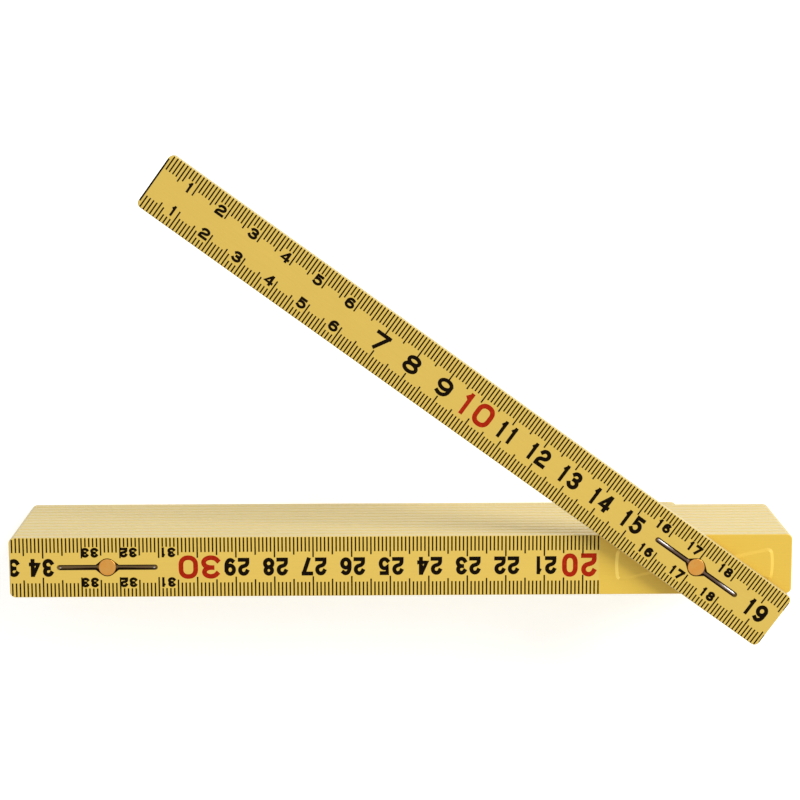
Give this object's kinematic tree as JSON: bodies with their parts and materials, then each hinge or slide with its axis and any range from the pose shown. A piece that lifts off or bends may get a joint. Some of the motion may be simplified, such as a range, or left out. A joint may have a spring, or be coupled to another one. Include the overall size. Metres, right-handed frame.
{
  "type": "folding rule",
  "caption": "Zig-zag folding rule: flat fibreglass-filled plastic legs joined by riveted spring joints, folded in a stack with the first leg swung part-way open.",
  "frame": {"origin": "centre of the folded stack's back face, midway between the two columns of rivets, on the legs' centre line", "axes": "+X along the folded legs, from the even joints to the odd joints; +Z out of the stack from the last leg to the first leg; +Y across the legs, to the side the first leg opens"},
  "size_m": [0.2032, 0.1272, 0.0452],
  "materials": {
    "leg_plastic": "satin moulded glass-filled nylon, yellow faces and paler edges",
    "spring_steel": "dark oiled spring steel",
    "rivet_copper": "coppered rivet, lightly worn"
  },
  "bodies": {
    "leg_01": {"leg_01": "leg_plastic", "front_spring_01": "spring_steel"},
    "leg_02": {"leg_02": "leg_plastic", "front_spring_02": "spring_steel", "back_spring_01": "spring_steel", "rivet_01": "rivet_copper"},
    "leg_03": {"leg_03": "leg_plastic", "front_spring_03": "spring_steel", "back_spring_02": "spring_steel", "rivet_02": "rivet_copper"},
    "leg_04": {"leg_04": "leg_plastic", "front_spring_04": "spring_steel", "back_spring_03": "spring_steel", "rivet_03": "rivet_copper"},
    "leg_05": {"leg_05": "leg_plastic", "front_spring_05": "spring_steel", "back_spring_04": "spring_steel", "rivet_04": "rivet_copper"},
    "leg_06": {"leg_06": "leg_plastic", "front_spring_06": "spring_steel", "back_spring_05": "spring_steel", "rivet_05": "rivet_copper"},
    "leg_07": {"leg_07": "leg_plastic", "front_spring_07": "spring_steel", "back_spring_06": "spring_steel", "rivet_06": "rivet_copper"},
    "leg_08": {"leg_08": "leg_plastic", "front_spring_08": "spring_steel", "back_spring_07": "spring_steel", "rivet_07": "rivet_copper"},
    "leg_09": {"leg_09": "leg_plastic", "front_spring_09": "spring_steel", "back_spring_08": "spring_steel", "rivet_08": "rivet_copper"},
    "leg_10": {"leg_10": "leg_plastic", "front_spring_10": "spring_steel", "back_spring_09": "spring_steel", "rivet_09": "rivet_copper"},
    "leg_11": {"leg_11": "leg_plastic", "front_spring_11": "spring_steel", "back_spring_10": "spring_steel", "rivet_10": "rivet_copper"},
    "leg_12": {"leg_12": "leg_plastic", "front_spring_12": "spring_steel", "back_spring_11": "spring_steel", "rivet_11": "rivet_copper"},
    "leg_13": {"leg_13": "leg_plastic", "back_spring_12": "spring_steel", "rivet_12": "rivet_copper"}
  },
  "joints": [
    {"name": "joint_12", "type": "hinge", "parent": "leg_13", "child": "leg_12", "pos_m": [-0.0762, 0, 0.0035], "axis": [0, 0, 1], "range_deg": [0, 180]},
    {"name": "joint_11", "type": "hinge", "parent": "leg_12", "child": "leg_11", "pos_m": [0.0762, 0, 0.007], "axis": [0, 0, -1], "range_deg": [0, 180]},
    {"name": "joint_10", "type": "hinge", "parent": "leg_11", "child": "leg_10", "pos_m": [-0.0762, 0, 0.0105], "axis": [0, 0, 1], "range_deg": [0, 180]},
    {"name": "joint_09", "type": "hinge", "parent": "leg_10", "child": "leg_09", "pos_m": [0.0762, 0, 0.014], "axis": [0, 0, -1], "range_deg": [0, 180]},
    {"name": "joint_08", "type": "hinge", "parent": "leg_09", "child": "leg_08", "pos_m": [-0.0762, 0, 0.0175], "axis": [0, 0, 1], "range_deg": [0, 180]},
    {"name": "joint_07", "type": "hinge", "parent": "leg_08", "child": "leg_07", "pos_m": [0.0762, 0, 0.021], "axis": [0, 0, -1], "range_deg": [0, 180]},
    {"name": "joint_06", "type": "hinge", "parent": "leg_07", "child": "leg_06", "pos_m": [-0.0762, 0, 0.0245], "axis": [0, 0, 1], "range_deg": [0, 180]},
    {"name": "joint_05", "type": "hinge", "parent": "leg_06", "child": "leg_05", "pos_m": [0.0762, 0, 0.028], "axis": [0, 0, -1], "range_deg": [0, 180]},
    {"name": "joint_04", "type": "hinge", "parent": "leg_05", "child": "leg_04", "pos_m": [-0.0762, 0, 0.0315], "axis": [0, 0, 1], "range_deg": [0, 180]},
    {"name": "joint_03", "type": "hinge", "parent": "leg_04", "child": "leg_03", "pos_m": [0.0762, 0, 0.035], "axis": [0, 0, -1], "range_deg": [0, 180]},
    {"name": "joint_02", "type": "hinge", "parent": "leg_03", "child": "leg_02", "pos_m": [-0.0762, 0, 0.0385], "axis": [0, 0, 1], "range_deg": [0, 180]},
    {"name": "joint_01", "type": "hinge", "parent": "leg_02", "child": "leg_01", "pos_m": [0.0762, 0, 0.042], "axis": [0, 0, -1], "range_deg": [-36.1, 143.9]}
  ]
}
